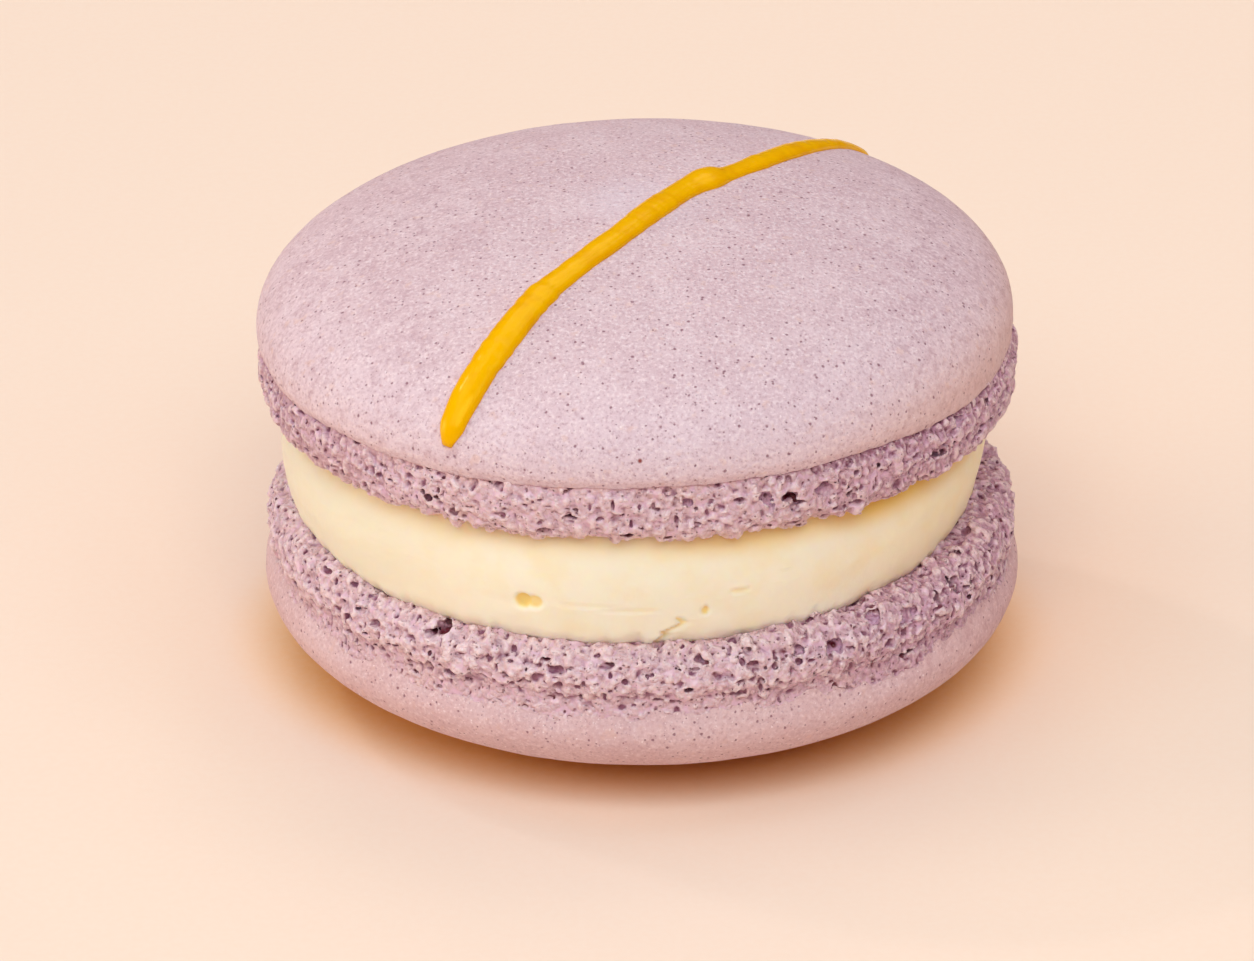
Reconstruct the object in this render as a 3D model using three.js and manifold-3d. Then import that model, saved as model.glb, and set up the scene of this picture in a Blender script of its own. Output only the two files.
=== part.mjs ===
// A French macaron: two domed almond-meringue shells with ruffled feet, a thick band of
// buttercream between them, and one line of thick icing drizzled over the top.
// Millimetres, +Z up. It stands on the plane Z = 0 on the flat of its bottom shell, and the
// Z axis runs through the middle of its width. The near side is -Y.
import * as THREE from "three";
import Module from "manifold-3d";

const { degToRad, lerp, smoothstep } = THREE.MathUtils;
const TURN = 2 * Math.PI;

// ---------- Driving dimensions (millimetres, degrees) ----------

// A dome's height follows a superellipse in its radius: 2 would be an ellipse.
const DOME_POWER = 2.23;

// Both shells are described in the same way, from the equator of the dome towards the foot.
// foot: the foot's outline as [radius, distance past the equator], from the crease under the
// crust to the foot's edge. cavities: burst bubbles, [angle, distance past the equator,
// width, sink].
const TOP_SHELL = {
  radius: 22.5,
  domeHeight: 7.18,
  flatHeight: Infinity,
  lip: 0.66,
  lipWave: 0.1,
  foot: [[22.0, 0.9], [22.35, 1.5], [22.45, 2.4], [22.3, 3.3], [21.95, 3.83]],
  innerRim: [21.3, 3.75],
  recess: [20.7, 3.3],
  facing: 1,
  seed: 11,
  centre: [-0.35, 0, 22.75],
  tilt: [-0.36, -1.56],
  cavities: [
    [-122, 2.3, 0.9, 0.7],
    [-99, 2.5, 0.9, 0.5],
    [-91, 3.7, 1.0, 0.6],
    [-68, 2.3, 1.5, 0.8],
    [-57, 2.9, 0.8, 0.5],
  ],
};

const BOTTOM_SHELL = {
  radius: 22.82,
  domeHeight: 6.54,
  flatHeight: 6.33,
  lip: 1.54,
  lipWave: 0.22,
  foot: [[22.0, 1.8], [22.15, 2.3], [22.5, 3.0], [22.45, 3.8], [22.05, 4.8], [21.45, 5.35]],
  innerRim: [20.95, 5.39],
  recess: [20.0, 5.39],
  facing: -1,
  seed: 29,
  centre: [0.11, 0, 6.33],
  tilt: [0, 0],
  cavities: [
    [-122, 4.7, 1.0, 0.8],
    [-83, 3.1, 1.3, 0.6],
    [-60, 4.0, 1.4, 0.8],
    [-46, 1.9, 1.0, 0.6],
    [-39, 4.2, 0.9, 0.7],
    [-27, 4.0, 0.9, 0.7],
  ],
};

// Buttercream: its side as [radius, share of its height], from the bottom shell to the top one.
const FILLING = {
  centre: [-0.55, 0],
  side: [[20.45, 0], [20.95, 0.13], [21.4, 0.4], [21.4, 0.62], [20.95, 0.86], [20.2, 1]],
  seed: 47,
  // [angle, share of the height, width, sink]: a pinhole and the two nicks of a spatula
  nicks: [
    [-106, 0.35, 0.7, 0.35],
    [-83, 0.13, 1.2, 0.7],
    [-79, 0.29, 0.8, 0.25],
  ],
};
const GAP = 0.3; // air between the filling and each shell

// The crust's rolled edge as [distance in from the equator, share of the lip's depth].
const LIP_SECTION = [[0.03, 0.55], [0.2, 1], [0.5, 1.12]];
const LIP_WAVES = 24;

// Lumps of the feet: how many go round, how tall they are and how far they stand out, and the
// raggedness of the foot's edge.
const FOOT_LUMPS = [
  { around: 42, tall: 1.3, size: 0.26 },
  { around: 90, tall: 0.7, size: 0.16 },
];
const FOOT_RAGS = { around: 64, size: 0.2 };
const FILLING_WAVES = { around: 14, tall: 2.6, size: 0.15 };

// The icing line on the top shell, in the shell's own frame: [x, y, width of the bead].
const ICING_LINE = [
  [-10.2, -19.5, 1.5],
  [-9.3, -17.9, 1.7],
  [-7.4, -14.8, 1.65],
  [-5.2, -11.1, 1.65],
  [-3.6, -9.0, 1.4],
  [-0.7, -5.0, 1.45],
  [1.4, -1.6, 1.6],
  [3.2, 1.1, 1.5],
  [4.6, 2.7, 1.9],
  [5.8, 3.7, 1.25],
  [7.7, 6.0, 1.4],
  [10.4, 9.9, 1.3],
  [12.6, 13.2, 1.1],
  [14.4, 15.6, 0.9],
];
const ICING = { height: 0.42, sink: 0.35, capLength: 1.1 }; // height and sink as shares of width

// Columns of points round the foot and the crust's edge, and rows of points down each stretch.
const COLUMNS = 144;
const DOME_COLUMNS = [18, 36, 72, 72, 72, 72, 144, 144, 144];
const UNDERSIDE_COLUMNS = [144, 72, 24];
const FOOT_ROWS = 8;
const FILLING_COLUMNS = 90;
const FILLING_ROWS = 9;
const ICING_STATIONS = 48;
const ICING_SIDES = 10;

// ---------- Repeatable unevenness ----------

// A value from -1 to 1 that depends only on two whole numbers and a seed.
function scatter(i, j, seed) {
  let h = Math.imul(i, 374761393) ^ Math.imul(j, 668265263) ^ Math.imul(seed, 1274126177);
  h = Math.imul(h ^ (h >>> 13), 1103515245);
  return ((h ^ (h >>> 16)) >>> 0) / 2 ** 31 - 1;
}

// Smooth lumps on a round side, `around` of them in a turn and each `tall` mm high.
function lumps(angle, height, around, tall, seed) {
  const u = ((angle / TURN) * around + around) % around;
  const v = height / tall;
  const [i, j] = [Math.floor(u), Math.floor(v)];
  const [s, t] = [smoothstep(u - i, 0, 1), smoothstep(v - j, 0, 1)];
  const corner = (di, dj) => scatter((i + di) % around, j + dj, seed);
  return lerp(lerp(corner(0, 0), corner(1, 0), s), lerp(corner(0, 1), corner(1, 1), s), t);
}

// How deep a set of round dents is at a point on a side of the given radius.
function dents(list, angle, height, radius, heightUnit = 1) {
  let depth = 0;
  for (const [degrees, at, width, sink] of list) {
    const across = radius * Math.asin(Math.sin(angle - degToRad(degrees)));
    const along = (height - at) * heightUnit;
    const facing = Math.cos(angle - degToRad(degrees)) > 0;
    if (facing) depth += sink * Math.exp(-4 * (across ** 2 + along ** 2) / width ** 2);
  }
  return depth;
}

// ---------- Closed surfaces made of rings of points ----------

const polar = (radius, angle, z) =>
  new THREE.Vector3(radius * Math.cos(angle), radius * Math.sin(angle), z);

// A ring of points, one at each of `count` equal angles.
const ring = (count, pointAt) =>
  Array.from({ length: count }, (_, k) => pointAt((k / count) * TURN));

// The closed surface through rings that run from the top pole down to the bottom pole.
// Neighbouring rings may differ in their number of points.
function skin(topPole, rings, bottomPole) {
  const points = [topPole];
  const triangles = [];
  const starts = rings.map((points_) => {
    const start = points.length;
    points.push(...points_);
    return start;
  });
  points.push(bottomPole);
  const last = points.length - 1;

  const upper = rings[0].length;
  for (let k = 0; k < upper; k++) triangles.push(0, 1 + k, 1 + ((k + 1) % upper));
  for (let row = 0; row + 1 < rings.length; row++)
    joinRings(triangles, starts[row], rings[row].length, starts[row + 1], rings[row + 1].length);
  const lower = rings.at(-1).length;
  const start = starts.at(-1);
  for (let k = 0; k < lower; k++) triangles.push(start + k, last, start + ((k + 1) % lower));

  const geometry = new THREE.BufferGeometry().setFromPoints(points);
  geometry.setIndex(triangles);
  return geometry;
}

// Triangles between two rings: each step moves on along the ring that lags behind.
function joinRings(triangles, upperStart, upperCount, lowerStart, lowerCount) {
  let [i, j] = [0, 0];
  const upper = (k) => upperStart + (k % upperCount);
  const lower = (k) => lowerStart + (k % lowerCount);
  while (i < upperCount || j < lowerCount) {
    if ((j + 1) / lowerCount <= (i + 1) / upperCount) {
      triangles.push(upper(i), lower(j), lower(j + 1));
      j++;
    } else {
      triangles.push(upper(i), lower(j), upper(i + 1));
      i++;
    }
  }
}

// ---------- Shells ----------

const domeHeightAt = (shell, radius) =>
  shell.domeHeight * Math.sqrt(Math.max(0, 1 - (radius / shell.radius) ** DOME_POWER));

// The smooth crust: from near the pole to the equator.
function domeRings(shell) {
  return DOME_COLUMNS.map((columns, row) => {
    const swing = (Math.PI / 2) * ((row + 1) / DOME_COLUMNS.length);
    const radius = shell.radius * Math.sin(swing) ** (2 / DOME_POWER);
    const height = Math.min(domeHeightAt(shell, radius), shell.flatHeight);
    return ring(columns, (angle) => polar(radius, angle, shell.facing * height));
  });
}

// The crust's rolled edge, which overhangs the crease above the foot.
function lipRings(shell) {
  const { radius, lip, lipWave, facing, seed } = shell;
  return LIP_SECTION.map(([inset, share]) =>
    ring(COLUMNS, (angle) => {
      const wave = lipWave * lumps(angle, 0, LIP_WAVES, 1, seed);
      return polar(radius - inset, angle, -facing * share * (lip + wave));
    }),
  );
}

// The foot: lumps of risen batter with burst bubbles between them, and a ragged edge.
function footRings(shell) {
  const { foot, facing, seed, cavities } = shell;
  const outline = new THREE.SplineCurve(foot.map(([r, d]) => new THREE.Vector2(r, d)));
  return Array.from({ length: FOOT_ROWS }, (_, row) => {
    const share = row / (FOOT_ROWS - 1);
    const { x: radius, y: depth } = outline.getPoint(share);
    return ring(COLUMNS, (angle) => {
      let bulge = -dents(cavities, angle, depth, radius);
      FOOT_LUMPS.forEach(({ around, tall, size }, k) => {
        bulge += size * lumps(angle, depth, around, tall, seed + 1 + k);
      });
      const ragged = share * FOOT_RAGS.size * lumps(angle, 0, FOOT_RAGS.around, 1, seed);
      return polar(radius + bulge, angle, -facing * (depth + ragged));
    });
  });
}

// The face that the filling sits against, a little sunk inside the foot's rim.
function undersideRings(shell) {
  const { innerRim, recess, facing } = shell;
  const profile = [innerRim, recess, [recess[0] / 2, recess[1]]];
  return profile.map(([radius, depth], row) =>
    ring(UNDERSIDE_COLUMNS[row], (angle) => polar(radius, angle, -facing * depth)),
  );
}

function shellGeometry(shell) {
  const rings = [
    ...domeRings(shell),
    ...lipRings(shell),
    ...footRings(shell),
    ...undersideRings(shell),
  ];
  const pole = new THREE.Vector3(0, 0, shell.facing * Math.min(shell.domeHeight, shell.flatHeight));
  const underside = new THREE.Vector3(0, 0, -shell.facing * shell.recess[1]);
  return shell.facing > 0
    ? skin(pole, rings, underside)
    : skin(underside, rings.reverse(), pole);
}

// ---------- Icing ----------

// A point of the top shell's crust and the crust's outward normal there.
function onCrust(shell, x, y) {
  const radius = Math.hypot(x, y);
  const height = domeHeightAt(shell, radius);
  const fall =
    (shell.domeHeight ** 2 * DOME_POWER * (radius / shell.radius) ** (DOME_POWER - 1)) /
    (2 * shell.radius * height);
  const normal = new THREE.Vector3((fall * x) / radius, (fall * y) / radius, 1).normalize();
  return { point: new THREE.Vector3(x, y, height), normal };
}

// The icing bead: an oval section, half sunk in the crust, swept along its line with round ends.
function icingGeometry(shell) {
  const line = new THREE.CatmullRomCurve3(ICING_LINE.map((p) => new THREE.Vector3(...p)));
  const length = line.getLength();
  const rings = [];
  const ends = [];
  for (let k = 0; k <= ICING_STATIONS; k++) {
    const share = (1 - Math.cos((Math.PI * k) / ICING_STATIONS)) / 2;
    const { x, y, z: width } = line.getPointAt(share);
    const ahead = line.getTangentAt(share).setZ(0);
    const { point, normal } = onCrust(shell, x, y);
    if (k === 0 || k === ICING_STATIONS) {
      ends.push(point);
      continue;
    }
    const side = new THREE.Vector3().crossVectors(ahead, normal).normalize();
    const fromEnd = Math.min(1, (Math.min(share, 1 - share) * length) / ICING.capLength);
    const size = width * Math.sqrt(1 - (1 - fromEnd) ** 2);
    rings.push(
      ring(ICING_SIDES, (angle) => {
        const rise = Math.sin(angle) * (Math.sin(angle) > 0 ? ICING.height : ICING.sink);
        return point
          .clone()
          .addScaledVector(side, (Math.cos(angle) * size) / 2)
          .addScaledVector(normal, rise * size);
      }),
    );
  }
  return skin(ends[0], rings, ends[1]);
}

// ---------- Filling ----------

// The buttercream band: its top follows the underside of the tilted top shell.
function fillingGeometry() {
  const [tiltX, tiltY] = TOP_SHELL.tilt.map(degToRad);
  const floor = BOTTOM_SHELL.centre[2] + BOTTOM_SHELL.recess[1] + GAP;
  const ceiling = TOP_SHELL.centre[2] - TOP_SHELL.recess[1] - GAP;
  const ceilingAt = (x, y) => ceiling - Math.tan(tiltY) * x + Math.tan(tiltX) * y;
  const [cx, cy] = FILLING.centre;
  const place = (radius, angle, share) => {
    const x = cx + radius * Math.cos(angle);
    const y = cy + radius * Math.sin(angle);
    return new THREE.Vector3(x, y, lerp(floor, ceilingAt(x, y), share));
  };

  const side = new THREE.SplineCurve(FILLING.side.map(([r, s]) => new THREE.Vector2(r, s)));
  const height = ceiling - floor;
  const rings = Array.from({ length: FILLING_ROWS }, (_, row) => {
    const { x: radius, y: share } = side.getPoint(1 - row / (FILLING_ROWS - 1));
    return ring(FILLING_COLUMNS, (angle) => {
      const lump = lumps(angle, share * height, FILLING_WAVES.around, FILLING_WAVES.tall, FILLING.seed);
      const wave = FILLING_WAVES.size * lump * Math.sin(Math.PI * share);
      const nick = dents(FILLING.nicks, angle, share, radius, height);
      return place(radius + wave - nick, angle, share);
    });
  });
  const inner = (share) => ring(24, (angle) => place(FILLING.side[0][0] / 2, angle, share));
  return skin(place(0, 0, 1), [inner(1), ...rings, inner(0)], place(0, 0, 0));
}

// ---------- Solids and the finished macaron ----------

const wasm = await Module();
wasm.setup();

function solidOf(geometry) {
  return new wasm.Manifold(
    new wasm.Mesh({
      numProp: 3,
      vertProperties: geometry.attributes.position.array,
      triVerts: new Uint32Array(geometry.index.array),
    }),
  );
}

function geometryOf(solid) {
  const { vertProperties, triVerts } = solid.getMesh();
  const geometry = new THREE.BufferGeometry();
  geometry.setAttribute("position", new THREE.BufferAttribute(vertProperties, 3));
  geometry.setIndex(new THREE.BufferAttribute(triVerts, 1));
  return geometry;
}

function piece(name, geometry, material) {
  geometry.computeVertexNormals();
  const mesh = new THREE.Mesh(geometry, material);
  mesh.name = name;
  return mesh;
}

function placeShell(mesh, { centre, tilt }) {
  mesh.position.set(...centre);
  mesh.rotation.set(degToRad(tilt[0]), degToRad(tilt[1]), 0, "YXZ");
  return mesh;
}

const shellMaterial = () =>
  new THREE.MeshStandardMaterial({ color: "#d8bcc3", roughness: 0.75, metalness: 0 });
const creamMaterial = new THREE.MeshStandardMaterial({
  color: "#f8e2c2",
  roughness: 0.5,
  metalness: 0,
});

const icedShell = solidOf(shellGeometry(TOP_SHELL)).add(solidOf(icingGeometry(TOP_SHELL)));

const macaron = new THREE.Group();
macaron.add(
  placeShell(piece("bottom_shell", shellGeometry(BOTTOM_SHELL), shellMaterial()), BOTTOM_SHELL),
  piece("filling", fillingGeometry(), creamMaterial),
  placeShell(piece("top_shell", geometryOf(icedShell), shellMaterial()), TOP_SHELL),
);

export default macaron;
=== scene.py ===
"""The looks of a French macaron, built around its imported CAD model.

Shapes are worked out in millimetres, and become metres when their mesh is made. Each shell is
described in its own frame: the origin is the middle of its dome's equator, and "depth" runs from
there towards its foot.
"""

import math

import bpy
import numpy as np
from mathutils import Matrix, Vector


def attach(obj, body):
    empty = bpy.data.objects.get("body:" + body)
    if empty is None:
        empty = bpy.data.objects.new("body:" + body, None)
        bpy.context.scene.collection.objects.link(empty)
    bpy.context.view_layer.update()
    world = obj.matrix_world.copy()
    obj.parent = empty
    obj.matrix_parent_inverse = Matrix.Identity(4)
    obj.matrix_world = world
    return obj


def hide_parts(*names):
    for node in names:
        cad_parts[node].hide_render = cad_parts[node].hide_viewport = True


MM = 0.001
TURN = 2 * math.pi

# ---- sizes

DOME_POWER = 2.23  # a dome's height is a superellipse of this power in its radius
SIDE_RADIUS = 22.0  # of the cylinder on which noise on a side is worked out

# outline: the foot's section as (radius, depth), from the crease under the crust, over its
# outside to the rim and the face that the filling lies on. cavities: burst bubbles as
# (angle, depth, half width, half height, sink), in degrees and mm.
TOP = {
    "radius": 22.5,
    "dome_height": 7.18,
    "flat_height": 99.0,  # where the dome is cut flat, if that is below its pole
    "lip": 0.72,  # depth of the crust's edge
    "lip_wave": 0.1,  # how uneven that edge is
    "lip_sag": 0.7,  # how much lower it hangs on the right
    "lip_lean": 0.2,  # how far its side leans in
    "lip_roll": 0.2,  # radius of its rounding
    "fine_band": 0.5,  # height of the finer foam below it
    "bulge": 0.28,  # how much further the foot stands out on the right
    "sag": 0.3,  # how much further down it reaches on the right, and less on the left
    "shade": (0.65, 0.92),  # how shady its left and its right are
    "core": (20.7, 3.6),  # radius and depth of the crust's hidden inside
    "facing": 1,  # 1 with the dome up, -1 with the dome down
    "seed": 11,
    "centre": (-0.35, 0.0, 22.75),
    "tilt": (-0.36, -1.56),  # degrees about x and y
    "outline": ((21.95, 0.4), (22.1, 0.9), (22.25, 1.6), (22.3, 2.4), (22.25, 3.2),
                (22.0, 3.8), (21.5, 4.1), (20.7, 3.8)),
    "cavities": (
        (-122.6, 2.2, 0.20, 0.16, 0.9), (-121.5, 2.45, 0.30, 0.20, 1.0),
        (-99.4, 2.46, 0.42, 0.11, 0.8), (-91.1, 3.55, 0.50, 0.22, 0.5),
        (-82.2, 1.6, 0.36, 0.28, 0.4), (-70.5, 2.1, 0.55, 0.45, 0.4),
        (-67.0, 2.2, 0.60, 0.36, 0.6), (-65.6, 2.6, 0.30, 0.30, 0.7),
        (-61.5, 2.2, 0.55, 0.50, 0.4), (-57.2, 2.9, 0.24, 0.22, 0.6),
        (-52.0, 1.8, 0.26, 0.24, 0.5), (-38.3, 3.0, 0.50, 0.22, 0.4),
        (-34.2, 1.8, 0.80, 0.40, 0.5), (-24.8, 2.1, 0.50, 0.28, 0.4),
    ),
}
BOTTOM = {
    "radius": 22.82,
    "dome_height": 6.54,
    "flat_height": 6.33,
    "lip": 1.54,
    "lip_wave": 0.35,
    "lip_sag": 0.0,
    "lip_lean": 0.5,
    "lip_roll": 0.12,
    "fine_band": 1.3,
    "bulge": 0.0,
    "sag": 0.0,
    "shade": (0.15, 0.85),
    "core": (19.5, 5.25),
    "facing": -1,
    "seed": 29,
    "centre": (0.11, 0.0, 6.33),
    "tilt": (0.0, 0.0),
    "outline": ((22.4, 0.9), (22.3, 1.5), (22.2, 2.0), (22.2, 2.5), (22.4, 3.1), (22.35, 3.8),
                (21.95, 4.7), (21.4, 5.2), (20.7, 5.35), (19.4, 5.4)),
    "cavities": (
        (-123.4, 4.6, 0.30, 0.24, 1.0), (-121.8, 4.9, 0.46, 0.50, 1.3),
        (-104.5, 4.5, 0.30, 0.14, 0.4), (-94.7, 4.5, 0.30, 0.16, 0.4),
        (-83.0, 3.1, 0.40, 0.22, 0.5), (-81.4, 4.64, 0.34, 0.22, 0.5),
        (-74.0, 5.2, 0.40, 0.34, 0.5), (-65.9, 4.45, 0.42, 0.30, 0.5),
        (-60.1, 4.2, 0.68, 0.50, 0.5), (-52.3, 4.85, 0.50, 0.36, 0.5),
        (-46.1, 4.35, 0.78, 0.45, 0.5), (-46.0, 1.95, 0.75, 0.10, 0.9),
        (-39.0, 4.4, 0.32, 0.42, 0.9), (-35.0, 4.8, 0.55, 0.26, 0.7),
        (-27.0, 4.3, 0.36, 0.40, 0.5), (-19.8, 4.6, 0.45, 0.30, 0.6),
        (-12.0, 1.8, 0.50, 0.25, 0.6),
    ),
}

# The buttercream: its side as (radius, share of its height), from the bottom shell up.
CREAM_CENTRE = (-0.55, 0.0)
CREAM_SHIFT = (0.4, 0.0)  # from its centre at the bottom shell to that at the top shell
CREAM_OVAL = 0.02  # how much of its radius it is narrower from side to side
CREAM_SIDE = ((20.1, -0.06), (20.45, -0.02), (20.76, 0.03), (21.1, 0.13), (21.45, 0.4),
              (21.4, 0.62), (20.95, 0.86), (20.4, 1.0), (20.2, 1.08))
CREAM_FLOOR = 11.72  # where it meets the bottom shell
CREAM_HEIGHT = 7.7

# The icing line on the top shell, in the shell's own frame: (x, y, width of the bead).
ICING_LINE = (
    (-10.6, -19.75, 1.0), (-10.25, -19.2, 1.55), (-9.75, -18.5, 1.8), (-9.1, -17.5, 1.95),
    (-7.4, -14.8, 2.0), (-5.2, -11.1, 2.0), (-3.6, -9.0, 1.75), (-0.7, -5.0, 1.8),
    (1.4, -1.6, 1.9), (3.2, 1.1, 1.85), (4.6, 2.7, 2.25), (5.8, 3.7, 1.5), (7.7, 6.0, 1.6),
    (10.4, 9.9, 1.5), (12.6, 13.2, 1.2), (14.4, 15.6, 0.8),
)
ICING_HEIGHT = 0.31  # share of the width
ICING_SINK = 0.3  # share of the width that is sunk in the crust
ICING_CAP = 0.75  # length of a round end
ICING_SEED = 61

CRUST_STEP = 0.2  # between neighbouring points of a mesh, as the other steps
FOOT_STEP = 0.085
CREAM_STEP = 0.13
CREAM_ROWS = 76
CREAM_RADIUS = 21.4  # where a mesh or grid has its full step round the macaron
GRID_RADIUS = 22.4
FOOT_RADIUS = 22.3  # for a foot's area
CORE_POINTS = 240  # round the hidden inside of a crust
MOST_TRIANGLES = 190_000  # of one piece

# ---- curves and unevenness


def smoothstep(x, low, high):
    t = np.clip((x - low) / (high - low), 0, 1)
    return t * t * (3 - 2 * t)


def smooth_max(a, b, k):
    """The larger of a and b, with the crease between them rounded over a width k."""
    h = np.clip(0.5 + 0.5 * (a - b) / k, 0, 1)
    return b + (a - b) * h + k * h * (1 - h)


def spline(points, count):
    """A smooth curve through a list of points: count points spread along it."""
    p = np.array(points, float)
    p = np.vstack([2 * p[0] - p[1], p, 2 * p[-1] - p[-2]])
    out = []
    for u in np.linspace(0, len(points) - 1, count):
        k = min(int(u), len(points) - 2)
        t = u - k
        a, b, c, d = p[k : k + 4]
        out.append(
            0.5 * (2 * b + (c - a) * t + (2 * a - 5 * b + 4 * c - d) * t**2
                   + (3 * b - a - 3 * c + d) * t**3)
        )
    return np.array(out)


def even_spline(points, count):
    """As spline, with its points evenly spaced in the first two coordinates."""
    fine = spline(points, 40 * len(points))
    along = np.concatenate([[0], np.cumsum(np.linalg.norm(np.diff(fine[:, :2], axis=0), axis=1))])
    at = np.linspace(0, along[-1], count)
    return np.stack([np.interp(at, along, fine[:, k]) for k in range(fine.shape[1])], axis=-1)


def lattice_noise(points, size, seed):
    """Smooth noise from -1 to 1 with lumps of a size in mm, at rows of (x, y, z)."""
    table = np.random.default_rng(seed).uniform(-1, 1, 4096)
    p = points / size
    base = np.floor(p).astype(np.int64)
    f = p - base
    f = f * f * (3 - 2 * f)
    total = np.zeros(len(p))
    for corner in np.ndindex(2, 2, 2):
        c = base + np.array(corner)
        pick = (c[:, 0] * 73856093 ^ c[:, 1] * 19349663 ^ c[:, 2] * 83492791) & 4095
        weight = np.prod(np.where(corner, f, 1 - f), axis=1)
        total += weight * table[pick]
    return total


def side_noise(angle, depth, size, seed):
    """Lattice noise on a round side, so that it joins up after a full turn."""
    angle, depth = np.broadcast_arrays(angle, depth)
    side = np.stack([SIDE_RADIUS * np.cos(angle), SIDE_RADIUS * np.sin(angle), depth], -1)
    return lattice_noise(side, size, seed)


# ---- meshes


def make_mesh(name, points_mm, faces):
    """A smooth-shaded object in metres, from rows of points in mm and a list of faces."""
    mesh = bpy.data.meshes.new(name)
    mesh.from_pydata((np.asarray(points_mm) * MM).tolist(), [], faces)
    mesh.update()
    mesh.shade_smooth()
    obj = bpy.data.objects.new(name, mesh)
    bpy.context.scene.collection.objects.link(obj)
    return obj


def paint(obj, name, values):
    """Stores a value for each vertex, which the piece's material reads by its name."""
    layer = obj.data.attributes.new(name, "FLOAT", "POINT")
    layer.data.foreach_set("value", np.asarray(values, np.float32))


def read(items, name, width, kind=float):
    """A table with a row for each of a mesh's vertices or edges."""
    values = np.zeros(len(items) * width, kind)
    items.foreach_get(name, values)
    return values.reshape(-1, width)


def from_shell(points, shell):
    """Points in a shell's own frame, brought into the macaron's."""
    tilt_x, tilt_y = (math.radians(a) for a in shell["tilt"])
    turn = Matrix.Rotation(tilt_y, 4, "Y") @ Matrix.Rotation(tilt_x, 4, "X")
    m = np.array(Matrix.Translation(shell["centre"]) @ turn)
    return points @ m[:3, :3].T + m[:3, 3]


def skin(rings):
    """The closed surface through rings of points, each end closed round its middle.
    Neighbouring rings may differ in their number of points."""
    parts = [rings[0].mean(axis=0, keepdims=True), *rings, rings[-1].mean(axis=0, keepdims=True)]
    starts = np.cumsum([0] + [len(p) for p in parts])
    n = len(rings[0])
    faces = [(0, 1 + k, 1 + (k + 1) % n) for k in range(n)]
    for row in range(1, len(rings)):
        join_rings(faces, starts[row], len(parts[row]), starts[row + 1], len(parts[row + 1]))
    n, first, last = len(rings[-1]), starts[-3], starts[-2]
    faces += [(first + k, last, first + (k + 1) % n) for k in range(n)]
    return np.concatenate(parts), faces


def join_rings(faces, upper, upper_count, lower, lower_count):
    """Faces between two rings: quads where they match, and otherwise triangles."""
    if upper_count == lower_count:
        n = upper_count
        faces += [
            (upper + k, lower + k, lower + (k + 1) % n, upper + (k + 1) % n) for k in range(n)
        ]
        return
    i = j = 0
    while i < upper_count or j < lower_count:
        a, c = upper + i % upper_count, lower + j % lower_count
        if (j + 1) * upper_count <= (i + 1) * lower_count:
            faces.append((a, c, lower + (j + 1) % lower_count))
            j += 1
        else:
            faces.append((a, c, upper + (i + 1) % upper_count))
            i += 1


def ring(radius, z, count):
    """A level ring of points; radius and z may be numbers or one value for each point."""
    angle = np.arange(count) * TURN / count
    return np.stack([radius * np.cos(angle), radius * np.sin(angle), z + 0 * angle], -1)


# ---- crusts


def dome_height_at(shell, radius):
    share = np.clip(1 - (radius / shell["radius"]) ** DOME_POWER, 0, None)
    return shell["dome_height"] * np.sqrt(share)


CRUST_WAVES = ((0.030, 3.1), (0.012, 1.1))  # (height, size) of a crust's unevenness
LIP_WAVES = ((1.0, 5.0), (0.5, 1.6), (0.6, 0.55))  # (share, size) of its edge's unevenness


def crust_swell(points, seed):
    """The faint rise and fall of a baked crust, never above the dome itself."""
    return sum(
        height * (lattice_noise(points, size, seed + k) - 1)
        for k, (height, size) in enumerate(CRUST_WAVES)
    )


def dome_rings(shell):
    """Rings from the pole to the equator, in the shell's frame with the dome up."""
    radius, rings = shell["radius"], []
    rows = int(1.16 * radius / CRUST_STEP)  # the arc is about 1.16 radii long
    for row in range(1, rows + 1):
        swing = (math.pi / 2) * row / rows
        r = radius * math.sin(swing) ** (2 / DOME_POWER)
        height = min(float(dome_height_at(shell, r)), shell["flat_height"])
        points = ring(r, height, max(12, int(TURN * r / CRUST_STEP)))
        free = float(smoothstep(shell["flat_height"] - height, 0.0, 0.8))
        swell = free * crust_swell(points, shell["seed"])[:, None]
        outward = points[:, :2] / r
        points[:, :2] += swell * outward * math.sin(swing)
        points[:, 2:] += swell * math.cos(swing)
        rings.append(points)
    return rings


def lip_drop(shell, angle):
    """How far the crust's edge hangs down at an angle, which it does on the right, in mm."""
    return shell["lip_sag"] * smoothstep(np.cos(angle), 0.55, 0.95)


def lip_rings(shell, count):
    """The crust's rolled edge, its underside and the hidden core that closes it."""
    angle = np.arange(count) * TURN / count
    wave = sum(
        share * side_noise(angle, 0.0, size, shell["seed"] + 2 + k)
        for k, (share, size) in enumerate(LIP_WAVES)
    )
    drop = lip_drop(shell, angle)
    edge = shell["lip"] + shell["lip_wave"] * wave + drop
    swell = crust_swell(ring(shell["radius"], 0.0, count), shell["seed"])
    lean, roll = shell["lip_lean"] - 0.2 * drop, shell["lip_roll"]
    rings = []
    steps = max(2, int(shell["lip"] / CRUST_STEP))
    for k in range(1, steps):
        share = k / steps
        side = shell["radius"] + swell - lean * share**2
        rings.append(ring(side, -share * (edge - roll), count))
    for turn in np.radians((0, 30, 60, 90, 120)):
        side = shell["radius"] + swell - lean - roll * (1 - math.cos(turn))
        rings.append(ring(side, -(edge - roll * (1 - math.sin(turn))), count))
    rings.append(ring(shell["radius"] - 1.0, -(edge - 0.1), count))
    core_radius, core_depth = shell["core"]
    rings.append(ring(core_radius, -shell["lip"] - shell["lip_sag"] - 0.4, CORE_POINTS))
    rings.append(ring(core_radius, -core_depth, CORE_POINTS))
    rings.append(ring(core_radius / 3, -core_depth, CORE_POINTS // 4))
    return rings


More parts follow.
